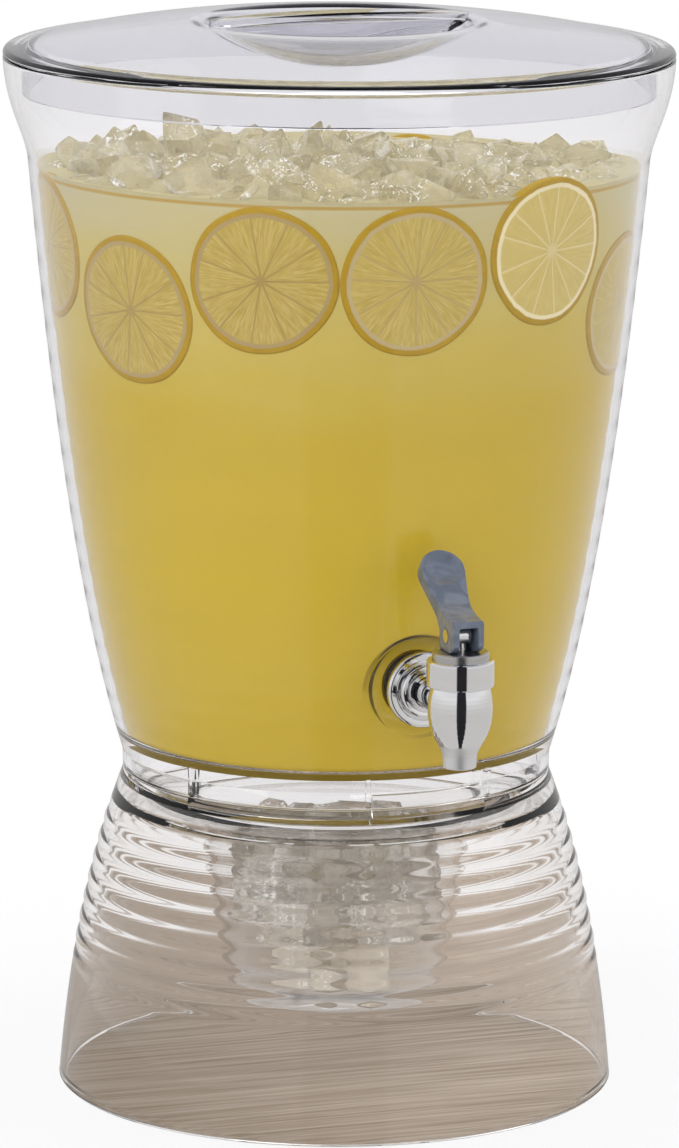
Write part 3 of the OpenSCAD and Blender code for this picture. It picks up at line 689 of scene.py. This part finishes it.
def build_slices():
    """The twelve slices, with each point's place on its slice kept for the material."""
    rng = random.Random(7)
    verts, faces, places, grains = [], [], [], []
    for direction, height, pale in SLICES:
        points, place, grain, width = slice_points(direction, height, rng)
        first = len(verts)
        verts += points
        places += [(r, off, pale) for r, off, _ in place]
        grains += grain
        for i in range(len(points) // width - 1):
            for k in range(width):
                a, b = first + i * width + k, first + i * width + (k + 1) % width
                faces.append((a, b, b + width, a + width))
    slices = new_mesh("lemon_slice_ring", verts, faces)
    mesh = slices.data
    for name, values in (("slice_place", places), ("slice_grain", grains)):
        attribute = mesh.attributes.new(name, "FLOAT_VECTOR", "POINT")
        attribute.data.foreach_set("vector", np.array(values, np.float32).ravel())
    bm = bmesh.new()
    bm.from_mesh(mesh)
    bmesh.ops.remove_doubles(bm, verts=bm.verts, dist=0.002 * MM)
    bmesh.ops.recalc_face_normals(bm, faces=bm.faces)
    bm.to_mesh(mesh)
    bm.free()
    shade(slices, 60)
    return finish_piece(slices, "vessel", slice_material(), "lemon", "lemon_slices")


def slice_material():
    """Wet lemon: rind, pith, and pulp wedges between thin membranes, from the mesh's own radius values."""
    n = Nodes("lemon")
    parts = n.add("ShaderNodeSeparateXYZ", {0: n.attribute("slice_place")})
    r, off, pale = parts.outputs["X"], parts.outputs["Y"], parts.outputs["Z"]
    streaks = n.noise(n.attribute("slice_grain"), 26.0, 2.0, 0.6)
    blots = n.noise(n.coords(), 130.0, 3.0, 0.6)
    pulp = n.ramp(streaks, [(0.30, srgb(170, 147, 64)), (0.5, srgb(181, 158, 80)),
                            (0.72, srgb(194, 176, 108))])
    pulp = n.mix(n.math("MULTIPLY", pale, 0.4), pulp, (*srgb(226, 208, 138), 1))
    dim = n.mix(pale, (*srgb(156, 130, 66), 1), (*srgb(218, 203, 152), 1))
    skin = n.step(off, 0.16, 0.6, 0.9, 0.0)
    core = n.step(r, CORE_R, CORE_R + 2.2, 0.8, 0.0)
    flesh = n.mix(n.math("MAXIMUM", skin, core), pulp, dim)
    wobble = n.math("MULTIPLY", n.math("SUBTRACT", blots, 0.5), 1.6)
    ring = n.math("ADD", r, wobble)
    pith = n.mix(pale, (*srgb(160, 136, 86), 1), (*srgb(228, 216, 176), 1))
    flesh = n.mix(n.step(ring, PITH_R - 0.4, PITH_R + 0.3), flesh, pith)
    rind = n.mix(blots, (*srgb(158, 128, 26), 1), (*srgb(184, 150, 38), 1))
    colour = n.mix(n.step(ring, RIND_R - 0.3, RIND_R + 0.3), flesh, rind)
    # The faint emission is a painted glow that lifts the slices' shade.
    shader = n.add("ShaderNodeBsdfPrincipled", {"Base Color": colour, "Roughness": 0.4,
                   "Specular IOR Level": 0.05, "Emission Color": colour, "Emission Strength": 0.05,
                   "Normal": n.bump(streaks, 0.0001, 0.6)})
    return n.surface(shader)


# ---- Ice ---------------------------------------------------------------------------------

def ice_material(name, tint, body, share, painted_glint):
    """Broken ice: clear glass mixed with a cloudy share, and small painted glints made of bright emission
    spots.
    """
    n = Nodes(name)
    veins = n.noise(n.coords(), 90.0, 4.0, 0.6, 0.5)
    rough = n.step(veins, 0.45, 0.7, 0.0, 0.12)
    normal = n.bump(n.noise(n.coords(), 190.0, 3.0, 0.6, 0.8), 0.0011, 0.85)
    glass = n.add("ShaderNodeBsdfGlass", {"Color": (*tint, 1), "Roughness": rough, "IOR": 1.31,
                  "Normal": normal})
    cloud_colour = n.mix(veins, (*body, 1), (*[min(1, b * 1.12) for b in body], 1))
    cloud = n.add("ShaderNodeBsdfDiffuse", {"Color": cloud_colour})
    frost_and_painted_light = n.math("MULTIPLY", n.step(veins, 0.35, 0.65, 0.5, 1.0), share)
    # Painted light: the ice near the cup's bottom gets a larger white cloudy share, for the bright light off
    # the cup's curved base. The floating ice is too high up for this to reach.
    painted_light_full_z, painted_light_end_z = (CUP_Z + 26) * MM, (CUP_Z + 42) * MM
    frost_and_painted_light = n.math("ADD", frost_and_painted_light, n.step(n.height(), painted_light_full_z, painted_light_end_z, 0.5, 0.0), clamp=True)
    ice = n.add("ShaderNodeMixShader", {0: frost_and_painted_light, 1: glass, 2: cloud})
    # Painted glints: small bright emission spots, in patches, standing in for highlights.
    painted_glint_patches = n.step(n.noise(n.coords(), 45.0, 2.0), 0.5, 0.62)
    painted_glint_spots = n.step(n.noise(n.coords(), 420.0, 2.0, 0.5, 1.2), 0.59, 0.63)
    painted_glint_spots = n.math("MULTIPLY", n.math("MULTIPLY", painted_glint_spots, painted_glint_patches), painted_glint)
    ice = n.add("ShaderNodeMixShader", {0: painted_glint_spots, 1: ice, 2: n.add("ShaderNodeEmission", {"Strength": 1.0})})
    open_ = n.add("ShaderNodeBsdfTransparent", {"Color": (0.94, 0.94, 0.92, 1)})
    is_shadow = n.add("ShaderNodeLightPath").outputs["Is Shadow Ray"]
    return n.surface(n.add("ShaderNodeMixShader", {0: is_shadow, 1: ice, 2: open_}))


def add_chunk(bm, rng, centre, size):
    """One irregular lump with flat broken faces."""
    turn = Matrix.Rotation(rng.uniform(0, 6.28), 3, Vector((rng.uniform(-1, 1), rng.uniform(-1, 1), 1)))
    stretch = Vector((1, rng.uniform(0.65, 0.95), rng.uniform(0.5, 0.85))) * size * 0.5
    lump = bmesh.new()
    for _ in range(15):
        p = Vector((rng.uniform(-1, 1), rng.uniform(-1, 1), rng.uniform(-1, 1)))
        p /= max(1e-3, max(abs(v) for v in p)) ** 0.75
        lump.verts.new((Vector(centre) + turn @ Vector(a * b for a, b in zip(p, stretch))) * MM)
    hull = bmesh.ops.convex_hull(lump, input=lump.verts)
    spare = {v for v in hull["geom_interior"] + hull["geom_unused"]
             if isinstance(v, bmesh.types.BMVert)}
    bmesh.ops.delete(lump, geom=list(spare), context="VERTS")
    bmesh.ops.dissolve_limit(lump, angle_limit=math.radians(9), verts=lump.verts, edges=lump.edges)
    bmesh.ops.bevel(lump, geom=list(lump.edges), offset=0.55 * MM, segments=2, profile=0.6,
                    affect="EDGES", clamp_overlap=True)
    bmesh.ops.triangulate(lump, faces=lump.faces)
    mesh = bpy.data.meshes.new("lump")
    lump.to_mesh(mesh)
    lump.free()
    bm.from_mesh(mesh)
    bpy.data.meshes.remove(mesh)


def ice_pile(name, places, seed, body, material, slot, node):
    rng = random.Random(seed)
    bm = bmesh.new()
    for centre, size in places:
        add_chunk(bm, rng, centre, size)
    mesh = bpy.data.meshes.new(name)
    bm.to_mesh(mesh)
    bm.free()
    pile = bpy.data.objects.new(name, mesh)
    scene.collection.objects.link(pile)
    shade(pile, 25)
    return finish_piece(pile, body, material, slot, node)


def crown_height(x, y):
    """Height of the ice crown above the drink, higher left of the middle than at the back."""
    a = math.radians(CAM_AZIMUTH)
    across, away = x * math.cos(a) + y * math.sin(a), -x * math.sin(a) + y * math.cos(a)
    peak = 12 * math.exp(-(((across + 78) / 22) ** 2) - ((away + 10) / 45) ** 2)
    plateau = 8 * math.exp(-((across / 70) ** 2) - ((away + 20) / 50) ** 2)
    return 5 + peak + plateau - 5 * float(fade(20, 100, away))


def build_floating_ice():
    """Lumps on a shaken triangular grid, as high as the crown is at each place."""
    rng = random.Random(11)
    places = []
    reach = float(wall_radius(LEVEL_Z)) - WALL - 4
    pitch = 16.5
    for row in range(-12, 13):
        for column in range(-12, 13):
            x = (column + (row % 2) / 2) * pitch + rng.uniform(-3, 3)
            y = row * pitch * 0.866 + rng.uniform(-3, 3)
            size = rng.uniform(17, 28)
            far = math.hypot(x, y)
            if far > reach - 4:
                continue
            if far > reach - size / 2:
                size = max(8.0, 2 * (reach - far))
            top = LEVEL_Z + crown_height(x, y) + rng.uniform(-6, 6)
            places.append(((x, y, top - size * 0.4), size))
    material = ice_material("ice", (0.975, 0.965, 0.93), srgb(190, 182, 156), 0.25, 0.9)
    return ice_pile("floating_ice_lumps", places, 12, "vessel", material, "ice", "floating_ice")


CUP_ICE_LAYERS = (47, 62, 78, 94, 111)      # heights of the lumps' middles


def build_cup_ice():
    """Lumps in rings, layer by layer, that stay inside the cup's wall."""
    rng = random.Random(21)
    places = []
    for layer, z in enumerate(CUP_ICE_LAYERS):
        reach = cup_radius(z) - 3
        for ring in range(4):
            r = ring * 19
            if r > reach - 4:
                continue
            count = max(1, round(2 * math.pi * r / 20))
            for k in range(count):
                a = 2 * math.pi * (k + 0.5 * (layer % 2)) / count + rng.uniform(-0.1, 0.1)
                size = min(rng.uniform(19, 27), 2 * (reach - r) + 4)
                spot = (r * math.cos(a), r * math.sin(a), z + rng.uniform(-2, 2))
                if math.hypot(spot[0], spot[1]) + size * 0.45 < reach + 1:
                    places.append((spot, size))
    material = ice_material("cup_ice", (0.99, 0.985, 0.98), srgb(236, 228, 216), 0.22, 0.6)
    return ice_pile("cup_ice_lumps", places, 22, "ice_cup", material, "ice", "cup_ice")


# ---- Tap ---------------------------------------------------------------------------------

def metal(name, colour, rough_low, rough_high, scale=60.0, satin_below=0.0):
    """Plated metal with faint wipe marks, and a satin finish below a height in millimetres."""
    n = Nodes(name)
    marks = n.noise(n.stretched((scale, scale, scale * 3)), 1.0, 4.0, 0.6)
    base = n.mix(n.step(marks, 0.3, 0.8, 0.0, 0.35), (*colour, 1), (*[c * 0.86 for c in colour], 1))
    satin = n.step(n.height(), (satin_below - 1) * MM, (satin_below + 1) * MM, 0.45, 0.0)
    rough = n.math("ADD", n.step(marks, 0.35, 0.75, rough_low, rough_high), satin)
    shader = n.add("ShaderNodeBsdfPrincipled", {"Base Color": base, "Metallic": 1.0, "Roughness": rough})
    return n.surface(shader)


def plastic(name, dark, light, rough, scale=40.0, twist=0.0, coat=0.0):
    """Moulded plastic whose colour drifts between two shades."""
    n = Nodes(name)
    drift = n.noise(n.coords(), scale, 3.0, 0.55, twist)
    colour = n.mix(n.step(drift, 0.35, 0.7), (*dark, 1), (*light, 1))
    fine = n.noise(n.coords(), 900.0, 2.0)
    shader = n.add("ShaderNodeBsdfPrincipled", {"Base Color": colour, "Roughness": rough,
                   "Coat Weight": coat, "Coat Roughness": 0.1, "Normal": n.bump(fine, 0.00002, 0.4)})
    return n.surface(shader)


def rounded_lever():
    """The lever with its edges softened, from the same shape as the solid part."""
    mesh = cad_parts["lever"].data.copy()
    piece = bpy.data.objects.new("lever_moulding", mesh)
    scene.collection.objects.link(piece)
    mesh.materials.clear()
    weld = bmesh.new()
    weld.from_mesh(mesh)
    bmesh.ops.remove_doubles(weld, verts=weld.verts, dist=0.001 * MM)
    weld.to_mesh(mesh)
    weld.free()
    remesh = piece.modifiers.new("remesh", "REMESH")
    remesh.mode = "VOXEL"
    remesh.voxel_size = 0.35 * MM
    smooth = piece.modifiers.new("smooth", "SMOOTH")
    smooth.factor = 0.5
    smooth.iterations = 4
    apply_modifiers(piece)
    shade(piece, None)
    return piece


def spring_coil():
    """The closing spring's wire as a swept tube."""
    low, high = box_mm("valve_spring")
    radius = 0.6
    coil_r = (high[0] - low[0]) / 2 - radius
    turns, steps, sides = 6, 360, 12
    verts = []
    for i in range(steps + 1):
        t = i / steps
        a = 2 * math.pi * turns * t
        z = low[2] + radius + t * (high[2] - low[2] - 2 * radius)
        for k in range(sides):
            b = 2 * math.pi * k / sides
            r = coil_r + radius * math.cos(b)
            verts.append((r * math.cos(a), TAP_Y + r * math.sin(a), z + radius * math.sin(b)))
    faces = [(i * sides + k, (i + 1) * sides + k, (i + 1) * sides + (k + 1) % sides,
              i * sides + (k + 1) % sides) for i in range(steps) for k in range(sides)]
    faces += [tuple(range(sides)), tuple(steps * sides + k for k in reversed(range(sides)))]
    return new_mesh("spring_coil", verts, faces, 40)


def paint_node(node, material):
    """Gives a material to a solid part that is kept as it is."""
    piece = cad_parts[node]
    if not piece.data.materials:
        piece.data.materials.append(material)
    for i in range(len(piece.data.materials)):
        piece.data.materials[i] = material


def build_tap():
    chrome = metal("chrome", (0.88, 0.88, 0.88), 0.03, 0.10)
    satin = metal("satin_cap", (0.56, 0.55, 0.53), 0.24, 0.38)
    steel = metal("spring_steel", (0.62, 0.62, 0.62), 0.2, 0.3, 200)
    white = plastic("white_plastic", (0.72, 0.72, 0.70), (0.80, 0.80, 0.78), 0.4)
    seal = plastic("clear_seal", (0.60, 0.60, 0.60), (0.70, 0.70, 0.70), 0.35)
    rubber = plastic("rubber", (0.03, 0.03, 0.03), (0.05, 0.05, 0.05), 0.6)
    for node in ("wall_flange", "spigot_shank", "bonnet_ring", "valve_stem", "pivot_pin"):
        paint_node(node, chrome)
    spout = metal("spout_chrome", (0.88, 0.88, 0.88), 0.03, 0.10, 60.0, body_low[2] + 10)
    paint_node("spigot_body", spout)
    paint_node("bonnet_cap", satin)
    paint_node("shank_nut", white)
    paint_node("outer_gasket", seal)
    paint_node("inner_gasket", rubber)
    paint_node("valve_plug", rubber)
    lever = rounded_lever()
    grey = plastic("grey_lever", srgb(96, 105, 120), srgb(124, 133, 148), 0.3, 80.0, 1.6, 0.5)
    finish_piece(lever, "lever", grey, "grey_lever", "lever")
    spring = spring_coil()
    finish_piece(spring, "vessel", steel, "spring_steel", "valve_spring")
    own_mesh(spring)


# ---- Camera, light and floor -------------------------------------------------------------

CAM_AZIMUTH = -19.2
CAM_DISTANCE, CAM_HEIGHT = 2.7742, 0.7918
CAM_DOWN, CAM_ROLL = 11.526, 0.3
AIM_ASIDE = 0.0012
LENS = 201.35


def add_camera():
    data = bpy.data.cameras.new("camera")
    data.lens = LENS
    data.sensor_width = 36
    data.sensor_fit = "AUTO"
    camera = bpy.data.objects.new("camera", data)
    a = math.radians(CAM_AZIMUTH)
    place = Vector((math.sin(a) * CAM_DISTANCE, -math.cos(a) * CAM_DISTANCE, CAM_HEIGHT))
    target = Vector((math.cos(a) * AIM_ASIDE, math.sin(a) * AIM_ASIDE,
                     CAM_HEIGHT - CAM_DISTANCE * math.tan(math.radians(CAM_DOWN))))
    aim = (target - place).to_track_quat("-Z", "Y").to_matrix()
    roll = Matrix.Rotation(math.radians(CAM_ROLL), 3, "Z")
    camera.location = place
    camera.rotation_euler = (aim @ roll).to_euler()
    scene.collection.objects.link(camera)
    scene.camera = camera


def area_light(name, place, target, size, power, colour=(1, 1, 1)):
    data = bpy.data.lights.new(name, "AREA")
    data.shape = "RECTANGLE"
    data.size, data.size_y = size
    data.energy = power
    data.color = colour
    light = bpy.data.objects.new(name, data)
    light.location = place
    light.rotation_euler = (Vector(target) - Vector(place)).to_track_quat("-Z", "Y").to_euler()
    light.visible_glossy = False
    scene.collection.objects.link(light)


def build_world():
    """A pale studio all round. Mirrors also see a dark panel, and the camera sees white."""
    scene.world = bpy.data.worlds.new("studio")
    n = Nodes("studio", scene.world)
    direction = n.add("ShaderNodeTexCoord").outputs["Generated"]
    parts = n.add("ShaderNodeSeparateXYZ", {0: direction})
    up = parts.outputs["Z"]
    studio = n.ramp(n.step(up, -0.3, 0.9), [(0.0, (0.60, 0.59, 0.58)), (0.3, (0.82, 0.82, 0.83)),
                                             (0.6, (0.70, 0.70, 0.73)), (1.0, (0.42, 0.42, 0.47))])
    path = n.add("ShaderNodeLightPath")
    # A dark upright panel behind the camera, seen only in mirrors.
    side = n.math("ARCTAN2", parts.outputs["X"], n.math("MULTIPLY", parts.outputs["Y"], -1.0))
    off = n.math("ABSOLUTE", n.math("SUBTRACT", side, math.radians(CAM_AZIMUTH + 4)))
    panel = n.step(off, 0.26, 0.34, 1.0, 0.0)
    panel = n.math("MULTIPLY", panel, path.outputs["Is Glossy Ray"])
    panel = n.math("MULTIPLY", panel, n.math("LESS_THAN", path.outputs["Transmission Depth"], 0.5))
    lit = n.mix(panel, studio, (0.02, 0.02, 0.025, 1))
    # What is mirrored inside the clear walls is lighter than what chrome mirrors.
    inside = n.math("GREATER_THAN", path.outputs["Transmission Depth"], 0.5)
    lit = n.mix(n.math("MULTIPLY", inside, 0.6), lit, (0.92, 0.92, 0.93, 1))
    through = n.mix(path.outputs["Is Transmission Ray"], lit, (0.94, 0.935, 0.945, 1))
    seen = n.mix(path.outputs["Is Camera Ray"], through, (1, 1, 1, 1))
    n.surface(n.add("ShaderNodeBackground", {"Color": seen, "Strength": 1.0}))


TABLE_REACH = (0.30, 0.40)      # where the table fades out as seen through the stand, metres


def build_floor():
    """A white table that melts into the backdrop, and shows as wood through the clear stand."""
    steps, radius = 96, 1.6
    a = np.arange(steps) * (2 * math.pi / steps)
    verts = [(0, 0, 0)] + [(radius * math.cos(t) / MM, radius * math.sin(t) / MM, 0) for t in a]
    faces = [(0, 1 + k, 1 + (k + 1) % steps) for k in range(steps)]
    floor = new_mesh("floor", verts, faces)
    floor.location.z = -0.0002
    n = Nodes("floor")
    position = n.add("ShaderNodeNewGeometry").outputs["Position"]
    distance = n.add("ShaderNodeVectorMath", {0: position}, operation="LENGTH").outputs["Value"]
    path = n.add("ShaderNodeLightPath")
    seen = path.outputs["Is Camera Ray"]
    turned = n.add("ShaderNodeMapping", {"Vector": position, "Scale": (9, 330, 1),
                   "Rotation": (0, 0, math.radians(12 - CAM_AZIMUTH))}).outputs[0]
    grain = n.noise(turned, 1.0, 3.0, 0.6, 0.3)
    wood = n.ramp(grain, [(0.3, srgb(158, 143, 127)), (0.5, srgb(190, 176, 161)),
                          (0.72, srgb(214, 202, 189))])
    # Painted shade: the wood seen through the stand darkens towards the camera's left.
    azimuth = math.radians(CAM_AZIMUTH)
    right = (math.cos(azimuth), math.sin(azimuth), 0)
    across = n.add("ShaderNodeVectorMath", {0: position, 1: right},
                   operation="DOT_PRODUCT").outputs["Value"]
    wood = n.mix(n.step(across, -0.12, 0.10, 0.42, 0.0), wood, (*srgb(96, 84, 72), 1))
    plain = n.mix(path.outputs["Is Transmission Ray"], (*srgb(226, 223, 222), 1), wood)
    colour = n.mix(seen, plain, (*srgb(250, 249, 248), 1))
    soft = n.add("ShaderNodeBsdfDiffuse", {"Color": colour})
    white = n.add("ShaderNodeEmission", {"Color": (1, 1, 1, 1)})
    shader = n.add("ShaderNodeMixShader", {0: n.math("MULTIPLY", seen, 0.8), 1: soft, 2: white})
    gone = n.add("ShaderNodeBsdfTransparent")
    near = n.step(distance, 0.15, 0.42)
    far = n.step(distance, *TABLE_REACH)
    share = n.add("ShaderNodeMix", {0: seen, 2: far, 3: near}, data_type="FLOAT").outputs[0]
    mirrored = n.math("MULTIPLY", path.outputs["Is Glossy Ray"],
                      n.math("LESS_THAN", path.outputs["Transmission Depth"], 0.5))
    share = n.math("MAXIMUM", share, mirrored)
    floor.data.materials.append(n.surface(n.add("ShaderNodeMixShader", {0: share, 1: shader, 2: gone})))


def build_light():
    area_light("key", (-1.7, -1.5, 1.7), (0, 0, 0.25), (1.6, 1.6), 20.5)
    area_light("fill", (2.0, -1.2, 1.2), (0, 0, 0.25), (1.6, 1.6), 12, (1, 0.99, 0.98))
    area_light("top", (0, 0.3, 2.2), (0, 0, 0.3), (1.6, 1.6), 15)


# ---- Build -------------------------------------------------------------------------------

build_vessel()
build_stand()
build_cup()
build_lid()
build_drink()
build_slices()
build_floating_ice()
build_cup_ice()
build_tap()
build_floor()
build_world()
build_light()
add_camera()

scene.view_settings.view_transform = "Standard"
